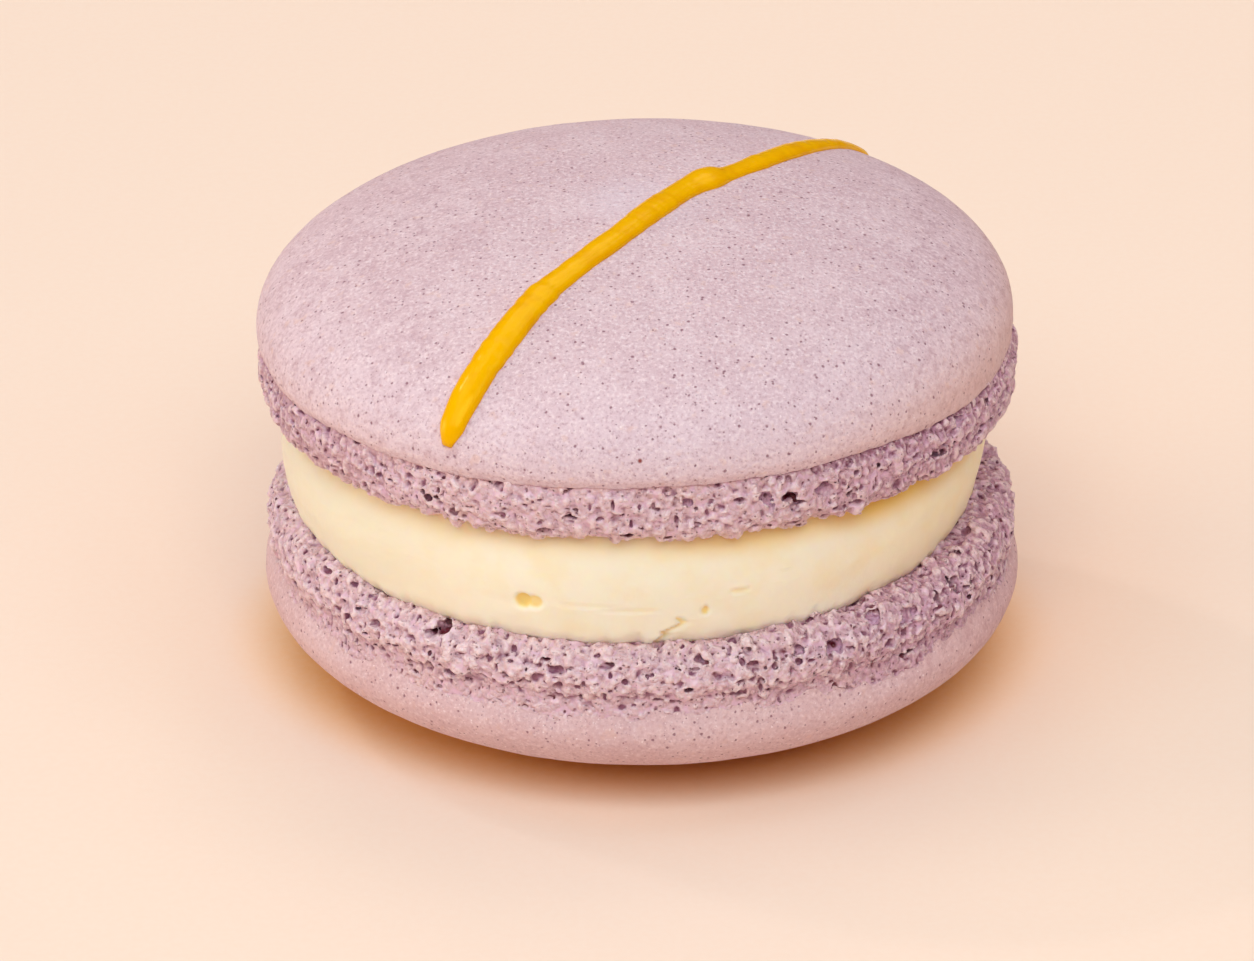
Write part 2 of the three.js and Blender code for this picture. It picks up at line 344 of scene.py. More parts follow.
def make_crust(name, shell):
    dome = dome_rings(shell)
    points, faces = skin(dome + lip_rings(shell, len(dome[-1])))
    top = shell["facing"] > 0
    across = points[:, 0] / shell["radius"]
    # sides: where darker blotches mottle the crust and also paint shade
    right, left = smoothstep(across, 0.3, 0.95), 0.65 * top * smoothstep(-across, 0.1, 0.6)
    # rim: how near the top crust's edge, where painted light makes it paler
    rim = top * smoothstep(points[:, 2], 6.0, 0.0)
    if not top:
        points[:, 2] *= -1
        faces = [face[::-1] for face in faces]
    obj = make_mesh(name, from_shell(points, shell), faces)
    paint(obj, "rim", rim)
    paint(obj, "right", right)
    paint(obj, "sides", np.maximum(left, right))
    return obj


# ---- feet


FOOT_WAVES = ((0.15, 3.2), (0.17, 1.4), (0.08, 0.7))  # (height, size) of a foot's unevenness


class FootGrid:
    """Values on a grid round a shell: angle (periodic), radius and depth, FOOT_STEP apart."""

    def __init__(self, shell):
        outline = np.array(shell["outline"])
        margin = 0.6 + shell["sag"]
        self.low = np.array([outline[:, 0].min() - 0.3, outline[:, 1].min() - 0.6])
        high = outline.max(axis=0) + margin
        self.around = int(TURN * GRID_RADIUS / FOOT_STEP)
        self.counts = np.ceil((high - self.low) / FOOT_STEP).astype(int)
        self.radii = self.low[0] + FOOT_STEP * np.arange(self.counts[0])
        self.depths = self.low[1] + FOOT_STEP * np.arange(self.counts[1])
        self.shape = (self.around, *self.counts)
        self.lip = shell["lip"]
        self.fine_band = shell["fine_band"]
        self.rough = 0.7 * self.noise(0.4, shell["seed"] + 9)  # what makes balls uneven
        self.rough += 0.4 * self.noise(0.2, shell["seed"] + 8)
        self.hole_size = np.ones(self.shape, np.float32)  # radius of the pore here, if any
        self.marking = False  # whether what is cut out counts as a pore

    def index(self, angle, radius, depth):
        """Where a point lies on the grid, in steps."""
        return (
            angle / TURN * self.around,
            (radius - self.low[0]) / FOOT_STEP,
            (depth - self.low[1]) / FOOT_STEP,
        )

    def noise(self, size, seed, flat=False):
        """Smooth noise from -1 to 1 on the whole grid, with lumps of a size in mm. Flat noise
        changes only with the angle."""
        rng = np.random.default_rng(seed)
        lumps = max(2, round(self.around * FOOT_STEP / size))
        spans = [1 if flat else n * FOOT_STEP / size for n in self.counts]
        values = rng.uniform(-1, 1, (lumps, *(int(s) + 2 for s in spans)))
        values = np.concatenate([values, values[:1]], axis=0)
        places = [np.arange(self.around) * lumps / self.around]
        places += [np.zeros(1) if flat else np.arange(n) * FOOT_STEP / size for n in self.counts]
        for axis, place in enumerate(places):
            base = place.astype(int)
            share = place - base
            share = share * share * (3 - 2 * share)
            share = share.reshape([-1 if k == axis else 1 for k in range(3)])
            near, far = (np.take(values, base + step, axis=axis) for step in (0, 1))
            values = near * (1 - share) + far * share
        return values.astype(np.float32)

    def coarseness(self, depth):
        """How coarse the foam is: fine just under the crust and full size further down."""
        return 0.4 + 0.6 * smoothstep(depth, self.lip, self.lip + self.fine_band)

    def nearest(self, values, angle, radius, depth):
        """Values at the grid's nearest points."""
        spots = self.index(np.mod(angle, TURN), radius, depth)
        at = [np.clip(np.rint(s).astype(int), 0, n - 1) for s, n in zip(spots, self.shape)]
        return values[tuple(at)]

    def sample(self, values, angle, radius, depth):
        """Values between the grid's points, straight between neighbours."""
        spots = self.index(np.mod(angle, TURN), radius, depth)
        base = [np.floor(s).astype(int) for s in spots]
        total = 0.0
        for corner in np.ndindex(2, 2, 2):
            weight = 1.0
            at = []
            for axis in range(3):
                share = spots[axis] - base[axis]
                weight = weight * (share if corner[axis] else 1 - share)
                at.append(base[axis] + corner[axis])
            at[0] = at[0] % self.around
            at[1], at[2] = (np.clip(at[k], 0, self.shape[k] - 1) for k in (1, 2))
            total = total + weight * values[tuple(at)]
        return total


def section_distance(outline, radii, depths):
    """How far outside a closed outline each (radius, depth) of a grid lies, in mm; inside it
    is below zero."""
    r, d = np.meshgrid(radii, depths, indexing="ij")
    best = np.full(r.shape, np.inf)
    inside = np.zeros(r.shape, bool)
    for (r0, d0), (r1, d1) in zip(outline, np.roll(outline, -1, axis=0)):
        run_r, run_d = r1 - r0, d1 - d0
        share = ((r - r0) * run_r + (d - d0) * run_d) / (run_r**2 + run_d**2)
        share = np.clip(share, 0, 1)
        best = np.minimum(best, np.hypot(r - r0 - share * run_r, d - d0 - share * run_d))
        if d0 != d1:
            crosses = (d0 > d) != (d1 > d)
            inside ^= crosses & (r < r0 + (d - d0) * run_r / run_d)
    return np.where(inside, -best, best)


JOIN, CUT = 1, -1
# Grains stand out of a foot, dimples are shallow bubbles in it and pores are deep ones: (how
# many on a mm², least and most radius in mm, how far the centre is sunk in radii).
GRAINS = ((0.8, 0.45, 0.8, 0.63), (5.0, 0.2, 0.4, 0.5), (6.0, 0.12, 0.2, 0.4))
DIMPLES = ((1.0, 0.12, 0.22, -0.3), (0.2, 0.25, 0.4, -0.5))
PORES = ((1.9, 0.06, 0.11, 0.5), (0.12, 0.13, 0.2, 0.3), (0.02, 0.26, 0.42, 0.0))
GRAIN_ROUGHNESS = 0.3  # how far a grain is from round
PORE_ROUGHNESS = 0.6
DARK_SINK = 0.8  # cavities sunk at least this deep get as dark a painted shade inside as small pores
DARK_HOLE = 0.15  # radius of the pore that they are marked as


def stamp(grid, field, centre, size, sign, soft=0.03):
    """Joins a rough ellipsoid to the solid or cuts it out, with its edge rounded over a width.
    size is its half width, half depth into the foot and half height."""
    roughness = GRAIN_ROUGHNESS if sign == JOIN else PORE_ROUGHNESS
    reach = np.array([s * (1 + roughness) + 2 * soft for s in size]) / FOOT_STEP
    at = grid.index(*centre)
    spans = [np.arange(math.floor(a - r), math.ceil(a + r) + 1) for a, r in zip(at, reach)]
    spans[1] = spans[1][(spans[1] >= 0) & (spans[1] < grid.shape[1])]
    spans[2] = spans[2][(spans[2] >= 0) & (spans[2] < grid.shape[2])]
    if not (len(spans[1]) and len(spans[2])):
        return
    a, b, c = ((spans[k] - at[k]) * FOOT_STEP / size[k] for k in range(3))
    far = np.sqrt(a[:, None, None] ** 2 + b[None, :, None] ** 2 + c[None, None] ** 2)
    window = np.ix_(spans[0] % grid.around, spans[1], spans[2])
    ball = (far - 1 + roughness * grid.rough[window]) * min(size)
    old = field[window]
    if sign == JOIN:
        field[window] = -smooth_max(-old, -ball, soft)
    else:
        field[window] = smooth_max(old, -ball, soft)
        if grid.marking:
            hole = grid.hole_size[window]
            mark = min(size) if size[1] < DARK_SINK else DARK_HOLE
            grid.hole_size[window] = np.where(ball < 0.06, np.minimum(hole, mark), hole)


def scatter_balls(grid, field, relief, outline, kinds, sign, rng):
    """Stamps many balls of random size at random places along a foot's visible outline."""
    run = np.diff(outline, axis=0)
    lengths = np.linalg.norm(run, axis=1)
    normals = np.stack([run[:, 1], -run[:, 0]], axis=-1) / lengths[:, None]
    share = lengths / lengths.sum()
    area = lengths.sum() * TURN * FOOT_RADIUS
    for density, least, most, sink in kinds:
        count = int(density * area)
        angles = rng.uniform(0, TURN, count)
        if sign == CUT:  # more bubbles burst on the right
            angles = angles - 0.3 * np.sin(angles + 0.5)
        pieces = rng.choice(len(lengths), count, p=share)
        slides = rng.uniform(0, 1, count)
        sizes = least + (most - least) * rng.uniform(0, 1, count) ** 1.6
        stretch = rng.uniform(0.75, 1.35, count) ** (1 if sign == JOIN else 2)
        spots = outline[pieces] + slides[:, None] * run[pieces]
        rise = grid.sample(relief, angles, spots[:, 0], spots[:, 1])
        if sign == JOIN:
            sizes *= grid.coarseness(spots[:, 1])
        spots = spots + normals[pieces] * (rise - sink * sizes)[:, None]
        for angle, (radius, depth), size, wide in zip(angles, spots, sizes, stretch):
            stamp(grid, field, (angle, radius, depth), (size * wide, size, size / wide), sign)


def foot_relief(grid, shell, last):
    """How far the foot's surface stands out, and its bulge alone. Last is its edge's depth."""
    seed = shell["seed"]
    edge = smoothstep(grid.depths, last - 1.0, last)[None, None]
    relief = sum(
        height * grid.noise(size, seed + 10 + k) for k, (height, size) in enumerate(FOOT_WAVES)
    )
    relief *= grid.coarseness(grid.depths).astype(np.float32)
    relief += 0.22 * edge * grid.noise(1.9, seed + 13, flat=True)  # its edge is ragged
    angles = np.arange(grid.around)[:, None, None] * TURN / grid.around
    right = np.cos(angles).astype(np.float32)
    below = smoothstep(grid.depths - lip_drop(shell, angles), shell["lip"], shell["lip"] + 0.9)
    bulge = shell["bulge"] * (smoothstep(right, 0.1, 0.9) * below).astype(np.float32)
    relief += bulge + shell["sag"] * right * edge.astype(np.float32)
    return relief, bulge


def foot_fields(shell):
    """The foot's grid, its field before and after the pores are cut, below zero inside."""
    grid = FootGrid(shell)
    rng = np.random.default_rng(shell["seed"])
    outline = even_spline(shell["outline"], 48)
    first, last = outline[0, 1] - 0.3, outline[:, 1].max()
    inner = min(outline[:, 0].min(), shell["core"][0]) - 0.15
    back = [[inner, outline[-1, 1]], [inner, first], [outline[0, 0], first]]
    base = section_distance(np.vstack([outline, back]), grid.radii, grid.depths)[None]
    relief, bulge = foot_relief(grid, shell, last)
    field = (base - relief).astype(np.float32)
    scatter_balls(grid, field, relief, outline, GRAINS, JOIN, rng)
    scatter_balls(grid, field, relief, outline, DIMPLES, CUT, rng)
    limit = bulge + (shell["radius"] + 0.02 - grid.radii)[None, :, None].astype(np.float32)
    field = smooth_max(field, -limit, 0.1)
    whole = field.copy()
    grid.marking = True
    scatter_balls(grid, field, relief, outline, PORES, CUT, rng)
    for angle, depth, wide, tall, sink in shell["cavities"]:
        radius = np.interp(depth, outline[:, 1], outline[:, 0])
        centre = (math.radians(angle) % TURN, radius - 0.3 * sink, depth)
        stamp(grid, field, centre, (wide, sink, tall), CUT, soft=0.05)
    field += 0.02 * grid.noise(0.36, shell["seed"] + 14)
    for border in (field[:, 0], field[:, -1], field[:, :, 0], field[:, :, -1]):
        np.maximum(border, FOOT_STEP / 2, out=border)  # so that the surface closes
    return grid, whole, field


def shifted(grid, start, size):
    """The part of a grid that starts at a corner."""
    return grid[tuple(slice(s, s + n) for s, n in zip(start, size))]


def surface_net(field):
    """The closed surface where a grid's field crosses zero, by surface nets: a vertex in each
    cell that the surface passes and a quad across each crossing. The first axis is periodic.
    Vertices come in grid steps."""
    f = np.concatenate([field, field[:1]], axis=0)
    inside = f < 0
    size = np.array(f.shape) - 1
    corners = list(np.ndindex(2, 2, 2))
    count = sum(shifted(inside, corner, size).astype(np.int8) for corner in corners)
    active = (count > 0) & (count < 8)
    cells = np.argwhere(active)
    number = np.full(active.shape, -1, np.int64)
    number[active] = np.arange(len(cells))

    total, hits = np.zeros((len(cells), 3)), np.zeros(len(cells))
    for axis in range(3):
        for corner in (c for c in corners if not c[axis]):
            far = list(corner)
            far[axis] = 1
            v0, v1 = f[tuple((cells + corner).T)], f[tuple((cells + far).T)]
            crossing = (v0 < 0) != (v1 < 0)
            spot = np.tile(np.array(corner, float), (len(cells), 1))
            spot[:, axis] = v0 / np.where(crossing, v0 - v1, 1)
            total += np.where(crossing[:, None], spot, 0)
            hits += crossing
    vertices = cells + total / hits[:, None]

    quads = []
    for axis in range(3):
        step = [int(k == axis) for k in range(3)]
        here = shifted(inside, (0, 0, 0), size)
        edges = np.argwhere(here != shifted(inside, step, size))
        u, v = (axis + 1) % 3, (axis + 2) % 3
        around = []
        for back_u, back_v in ((0, 0), (1, 0), (1, 1), (0, 1)):
            cell = edges.copy()
            cell[:, u] -= back_u
            cell[:, v] -= back_v
            cell[:, 0] %= size[0]
            around.append(number[tuple(cell.T)])
        quad = np.stack(around, axis=-1)
        leaving = here[tuple(edges.T)]
        quad[~leaving] = quad[~leaving][:, ::-1]
        quads.append(quad)
    return vertices, np.concatenate(quads)


def largest_part(count, quads):
    """The vertices and quads of the largest connected part: no scraps, no sealed bubbles."""
    label = np.arange(count)
    while True:
        low = label[quads].min(axis=1)
        new = label.copy()
        for k in range(4):
            np.minimum.at(new, quads[:, k], low)
        new = new[new]
        if (new == label).all():
            break
        label = new
    keep = label == np.bincount(label).argmax()
    number = np.cumsum(keep) - 1
    return keep, number[quads[keep[quads[:, 0]]]]


def decimate(obj, triangles):
    """Brings a piece of quads under a number of triangles."""
    have = 2 * len(obj.data.polygons)
    if have > triangles:
        obj.modifiers.new("thin", "DECIMATE").ratio = triangles / have
        graph = bpy.context.evaluated_depsgraph_get()
        thin = bpy.data.meshes.new_from_object(obj.evaluated_get(graph))
        obj.modifiers.clear()
        thick, obj.data = obj.data, thin
        bpy.data.meshes.remove(thick)
    obj.data.shade_smooth()


def hollowness(mesh):
    """How hollow the surface is at each vertex: how far its neighbours stand above it, in mm."""
    points, normals = read(mesh.vertices, "co", 3) / MM, read(mesh.vertices, "normal", 3)
    ends = read(mesh.edges, "vertices", 2, np.int32)
    a, b = ends.T
    degree = np.bincount(ends.ravel(), minlength=len(points))

    def around(values):
        total = np.bincount(a, values[b], len(points)) + np.bincount(b, values[a], len(points))
        return total / np.maximum(degree, 1)

    middle = np.stack([around(around(points[:, k])) for k in range(3)], axis=-1)
    hollow = ((middle - points) * normals).sum(axis=1)
    for _ in range(2):
        hollow = 0.5 * hollow + 0.5 * around(hollow)
    return hollow


def make_foot(name, shell):
    """A foot: baked foam, lumpy and full of burst bubbles."""
    grid, whole, field = foot_fields(shell)
    vertices, quads = surface_net(field)
    keep, quads = largest_part(len(vertices), quads)
    vertices = vertices[keep]
    angle = vertices[:, 0] * TURN / grid.around
    radius = grid.low[0] + vertices[:, 1] * FOOT_STEP
    depth = grid.low[1] + vertices[:, 2] * FOOT_STEP
    z = -shell["facing"] * depth
    points = np.stack([radius * np.cos(angle), radius * np.sin(angle), z], axis=-1)
    if shell["facing"] < 0:
        quads = quads[:, ::-1]
    obj = make_mesh(name, points, quads.tolist())
    decimate(obj, MOST_TRIANGLES)
    points = read(obj.data.vertices, "co", 3) / MM
    paint_foot(obj, points, shell, grid, whole)
    obj.data.vertices.foreach_set("co", (from_shell(points, shell) * MM).ravel())
    return obj


def paint_foot(obj, points, shell, grid, whole):
    """Stores what a foot's material reads: how deep each vertex lies in a pore, how much painted
    shade darkens the pore, creases for painted shade and light, the foot's brink, its shady
    sides and the painted shadow under the lip."""
    x, y, z = points.T
    angle, radius, depth = np.arctan2(y, x), np.hypot(x, y), -shell["facing"] * z
    pit = -grid.sample(whole, angle, radius, depth)
    hole = grid.nearest(grid.hole_size, angle, radius, depth)
    paint(obj, "pit", pit)
    # pore: how much painted shade darkens this small pore or deep cavity
    paint(obj, "pore", smoothstep(pit / hole, 0.2, 0.8) * smoothstep(hole, 0.34, 0.16))
    paint(obj, "crease", hollowness(obj.data))
    last = max(d for _, d in shell["outline"])
    paint(obj, "brink", smoothstep(depth, last - 0.9, last))
    left, right = shell["shade"]
    shade = np.maximum(left * smoothstep(x, -11.0, -19.0), right * smoothstep(x, 4.0, 18.0))
    paint(obj, "shade", shade)
    # painted shadow under the top crust's lip, on the right
    below_lip = depth - lip_drop(shell, angle) - shell["lip"]
    under = smoothstep(below_lip, 0.8, 0.1) * smoothstep(x, 4.0, 14.0) * smoothstep(x, 22.0, 18.0)
    paint(obj, "lip_shadow", under * (shell["facing"] > 0))


# ---- buttercream

# Small hollows in its side: (angle, z, half width, half height, sink).
CREAM_MARKS = (
    (-106.8, 14.30, 0.50, 0.52, 0.34),
    (-105.1, 14.32, 0.56, 0.46, 0.22),
    (-97.0, 14.35, 1.60, 0.14, 0.07),
    (-90.5, 14.05, 1.80, 0.15, 0.08),
    (-78.9, 13.85, 0.24, 0.32, 0.22),
    (-73.8, 14.9, 0.60, 0.20, 0.12),
    (-66.5, 15.6, 0.50, 0.10, 0.08),
)
# A tear at its lower edge: its ragged left side as (mm to the right of its angle, z).
CREAM_TEAR_ANGLE = -83.9
CREAM_TEAR = ((-1.0, 11.9), (-0.5, 12.3), (-0.7, 12.5), (-0.1, 12.8), (0.25, 13.0), (0.4, 13.15),
              (0.0, 13.5), (0.6, 13.65))


def to_the_right(angle, degrees, radius):
    """How far each angle lies to the right of one in degrees, in mm along the side."""
    return radius * (np.mod(angle - math.radians(degrees) + math.pi, TURN) - math.pi)


def cream_hollows(angle, z, radius):
    """How deep marks and the tear are in the side at each angle, at one height."""
    deep = np.zeros(len(angle))
    for degrees, height, wide, tall, sink in CREAM_MARKS:
        across = to_the_right(angle, degrees, radius)
        near = np.hypot(across / wide, (z - height) / tall)
        deep = np.maximum(deep, sink * smoothstep(near, 1.25, 0.6))
    edge, height = np.array(CREAM_TEAR).T
    beyond = to_the_right(angle, CREAM_TEAR_ANGLE, radius) - np.interp(z, height, edge)
    torn = 0.2 * smoothstep(beyond, 0.0, 0.1) * smoothstep(beyond, 0.9, 0.1)
    return np.maximum(deep, torn * smoothstep(z, height[-1], height[-1] - 0.25))


CREAM_SEED = 47
# Slow waves and spatula ridges in its side: (height, how many times wider than tall, size).
CREAM_WAVES = ((0.11, 1.0, 4.5), (0.045, 2.2, 1.6), (0.012, 3.0, 0.6))


def cream_side(angle, share):
    """How far the side stands out at each angle, at a share of its height."""
    z = CREAM_FLOOR + share * CREAM_HEIGHT
    mid = math.sin(math.pi * min(1.0, max(0.0, share)))
    drift = z + 0.45 * side_noise(angle, 0.0, 9.0, CREAM_SEED)
    wave = sum(
        height * side_noise(angle, squash * drift, size, CREAM_SEED + 1 + k)
        for k, (height, squash, size) in enumerate(CREAM_WAVES)
    )
    hem = float(smoothstep(share, 0.16, 0.04))
    ragged = side_noise(angle, 0.0, 1.3, CREAM_SEED + 4)
    ragged += side_noise(angle, 0.0, 0.5, CREAM_SEED + 5)
    return wave * (0.25 + 0.75 * mid) + 0.1 * hem * ragged


def cream_shade(points, share):
    """How much painted shade, in yellow, the side gets under the top shell: most at the front
    right.
    """
    x, y = points[:, 0], points[:, 1]
    right = 0.45 * smoothstep(x, 0.0, 5.0) + 0.55 * smoothstep(x, 10.0, 13.5)
    right *= 0.4 + 0.6 * smoothstep(y, 0.0, -8.0)
    return (0.33 + 0.67 * right) * smoothstep(share + 0.08 * right, 0.66, 0.87)


def halved(points):
    """A ring of half the width round the same middle."""
    middle = points.mean(axis=0)
    return middle + 0.5 * (points - middle)


def make_cream(name):
    columns = int(TURN * CREAM_RADIUS / CREAM_STEP)
    angle = np.arange(columns) * TURN / columns
    tilt_x, tilt_y = (math.radians(a) for a in TOP["tilt"])
    rings, deep, top = [], [], []
    for radius, share in even_spline([(r, s * CREAM_HEIGHT) for r, s in CREAM_SIDE], CREAM_ROWS):
        share /= CREAM_HEIGHT
        hollow = cream_hollows(angle, CREAM_FLOOR + share * CREAM_HEIGHT, radius)
        oval = CREAM_OVAL * (1 - 0.5 * share) * np.cos(2 * angle)
        points = ring(radius * (1 - oval) + cream_side(angle, share) - hollow, 0.0, columns)
        points[:, :2] += np.array(CREAM_CENTRE) + share * np.array(CREAM_SHIFT)
        lean = -math.tan(tilt_y) * points[:, 0] + math.tan(tilt_x) * points[:, 1]
        points[:, 2] = CREAM_FLOOR + share * (CREAM_HEIGHT + lean)
        rings.append(points)
        deep.append(hollow)
        top.append(cream_shade(points, share))
    rings = [halved(rings[0]), *rings, halved(rings[-1])]
    points, faces = skin(rings[::-1])
    obj = make_mesh(name, points, faces)
    # painted warm shade on the right of the side
    paint(obj, "right", smoothstep(points[:, 0], 9.0, 21.0))
    # painted shade on the left of the side
    paint(obj, "left", smoothstep(points[:, 0], -6.0, -18.0))
    for key, values in (("deep", deep), ("top", top)):
        values = np.concatenate([values[0], *values, values[-1]][::-1])
        paint(obj, key, np.concatenate([values[:1], values, values[-1:]]))
    return obj


# ---- icing


def on_crust(shell, x, y):
    """A point of the top crust and the outward normal there."""
    radius = math.hypot(x, y)
    height = float(dome_height_at(shell, radius))
    rise = shell["dome_height"] ** 2 * DOME_POWER * (radius / shell["radius"]) ** (DOME_POWER - 1)
    fall = rise / (2 * shell["radius"] * height)
    normal = np.array([fall * x / radius, fall * y / radius, 1.0])
    return np.array([x, y, height]), normal / np.linalg.norm(normal)


def make_icing(name):
    stations, sides = 320, 36
    line = even_spline(ICING_LINE, stations)
    length = np.linalg.norm(np.diff(line[:, :2], axis=0), axis=1).sum()
    turn = np.arange(sides) * TURN / sides
    uneven = 1 + 0.05 * lattice_noise(line, 1.1, ICING_SEED)
    uneven += 0.05 * lattice_noise(line, 0.4, ICING_SEED + 1)
    rings = []
    for k in range(1, stations - 1):
        x, y, width = line[k]
        width *= uneven[k]
        ahead = np.append(line[k + 1, :2] - line[k - 1, :2], 0.0)
        point, normal = on_crust(TOP, x, y)
        side = np.cross(ahead, normal)
        side /= np.linalg.norm(side)
        share = k / (stations - 1)
        from_end = min(1.0, min(share, 1 - share) * length / ICING_CAP)
        size = width * math.sqrt(1 - (1 - from_end) ** 2)
        rise = np.sin(turn) * np.where(np.sin(turn) > 0, ICING_HEIGHT, ICING_SINK)
        rings.append(
            point + np.outer(np.cos(turn) * size / 2, side) + np.outer(rise * size, normal)
        )
    points, faces = skin(rings)
    return make_mesh(name, from_shell(points, TOP), faces)


# ---- materials


def srgb(red, green, blue):
    """A colour from 8-bit display values."""
    return tuple(
        c / 12.92 if c <= 0.04045 else ((c + 0.055) / 1.055) ** 2.4
        for c in (red / 255, green / 255, blue / 255)
    ) + (1.0,)


class Look:
    """A material and short ways to add nodes to it. An input is a value or another output."""

    def __init__(self, name, colour):
        self.material = bpy.data.materials.new(name)
        self.material.use_nodes = True
        self.tree = self.material.node_tree
        self.shader = self.tree.nodes["Principled BSDF"]
        coords = self.node("ShaderNodeTexCoord").outputs["Object"]
        self.place = self.vector("MULTIPLY", coords, (1 / MM,) * 3)  # in mm, on the piece
        self.colour, self.normal = colour, None

    def node(self, kind, inputs=(), **settings):
        made = self.tree.nodes.new(kind)
        for key, value in settings.items():
            setattr(made, key, value)
        for key, value in dict(inputs).items():
            self.feed(made.inputs[key], value)
        return made

    def feed(self, socket, value):
        if isinstance(value, bpy.types.NodeSocket):
            self.tree.links.new(value, socket)
        else:
            socket.default_value = value

    def math(self, operation, *inputs):
        made = self.node("ShaderNodeMath", enumerate(inputs), operation=operation)
        return made.outputs[0]

    def vector(self, operation, *inputs, result="Vector"):
        made = self.node("ShaderNodeVectorMath", enumerate(inputs), operation=operation)
        return made.outputs[result]

    def noise(self, size, detail=2.0, rough=0.5, place=None):
        """Noise from 0 to 1 with lumps of a size in mm."""
        inputs = {"Scale": 1 / size, "Detail": detail, "Roughness": rough}
        inputs["Vector"] = self.place if place is None else place
        return self.node("ShaderNodeTexNoise", inputs).outputs["Fac"]

    def ramp(self, value, low, high, most=1.0, least=0.0):
        """A smooth step from least to most, as a value goes from low to high."""
        inputs = {0: value, "From Min": low, "From Max": high, "To Min": least, "To Max": most}
        made = self.node("ShaderNodeMapRange", inputs, interpolation_type="SMOOTHSTEP")
        return made.outputs["Result"]

    def attribute(self, name):
        return self.node("ShaderNodeAttribute", attribute_name=name).outputs["Fac"]

    def wobble(self, size, amount):
        """Coordinates pushed about by noise, by up to half an amount in mm."""
        inputs = {"Vector": self.place, "Scale": 1 / size, "Detail": 1.0}
        push = self.node("ShaderNodeTexNoise", inputs).outputs["Color"]
        return self.vector("MULTIPLY_ADD", push, (amount,) * 3, self.place)

    def cells(self, place, size):
        """Rounded cells of a size in mm: 0 in a cell's middle, near 1 in the gaps."""
        inputs = {"Vector": place, "Scale": 1 / size}
        return self.node("ShaderNodeTexVoronoi", inputs).outputs["Distance"]

    def dots(self, place, cell, least, most):
        """Soft round dots scattered in space: one in each cell of a size in mm, between two
        radii. 1 in a dot's middle and 0 away from it."""
        voronoi = self.node("ShaderNodeTexVoronoi", {"Vector": place, "Scale": 1 / cell})
        chance = self.node("ShaderNodeSeparateColor", {0: voronoi.outputs["Color"]}).outputs[0]
        chance = self.math("POWER", chance, 2.0)
        radius = self.math("MULTIPLY_ADD", chance, (most - least) / cell, least / cell)
        return self.ramp(self.math("DIVIDE", voronoi.outputs["Distance"], radius), 1.0, 0.45)

    def near(self, spot, reach, most):
        """Most at a spot, fading to 0 at a distance in mm."""
        spot = tuple(float(c) for c in spot)
        away = self.vector("DISTANCE", self.place, spot, result="Value")
        return self.ramp(away, reach, 0.3 * reach, most)

    def tint(self, colour, share, *factors):
        """Mixes a colour into the material's, by a share from 0 to 1 times any factors."""
        for factor in factors:
            share = self.math("MULTIPLY", share, factor)
        inputs = {0: share, 6: self.colour, 7: colour}
        self.colour = self.node("ShaderNodeMix", inputs, data_type="RGBA").outputs[2]

    def bump(self, height, distance):
        """Tilts the normals as a height would that moves the surface by a distance in mm."""
        inputs = {"Height": height, "Distance": distance * MM, "Strength": 1.0}
        if self.normal is not None:
            inputs["Normal"] = self.normal
        self.normal = self.node("ShaderNodeBump", inputs).outputs["Normal"]

    def finish(self, **inputs):
        """Sets the shader's inputs, named with _ for a space, and gives the material."""
        inputs["Base_Color"] = self.colour
        if self.normal is not None:
            inputs["Normal"] = self.normal
        for key, value in inputs.items():
            self.feed(self.shader.inputs[key.replace("_", " ")], value)
        return self.material


CRUST = srgb(213, 183, 192)
CRUST_PALE = srgb(235, 213, 220)
CRUST_RIM_LIGHT = srgb(233, 213, 229)
CRUST_DARK = srgb(182, 142, 156)
CRUST_TAN = srgb(224, 186, 176)
# painted shade, warm with light that the paper reflects
CRUST_WARM_SHADE = srgb(215, 167, 165)
CRUST_PORE = srgb(128, 76, 94)
CRUST_BLOOM = srgb(226, 212, 228)
CRUST_HIGHLIGHT = srgb(250, 234, 240)
CRUST_SPECK = srgb(140, 62, 58)
BLOOM = (0.9, -0.3)  # middle of a paler patch beside the icing, in the top shell's frame
SPECK = (0.36, -22.24, 1.14)  # one reddish speck near the front


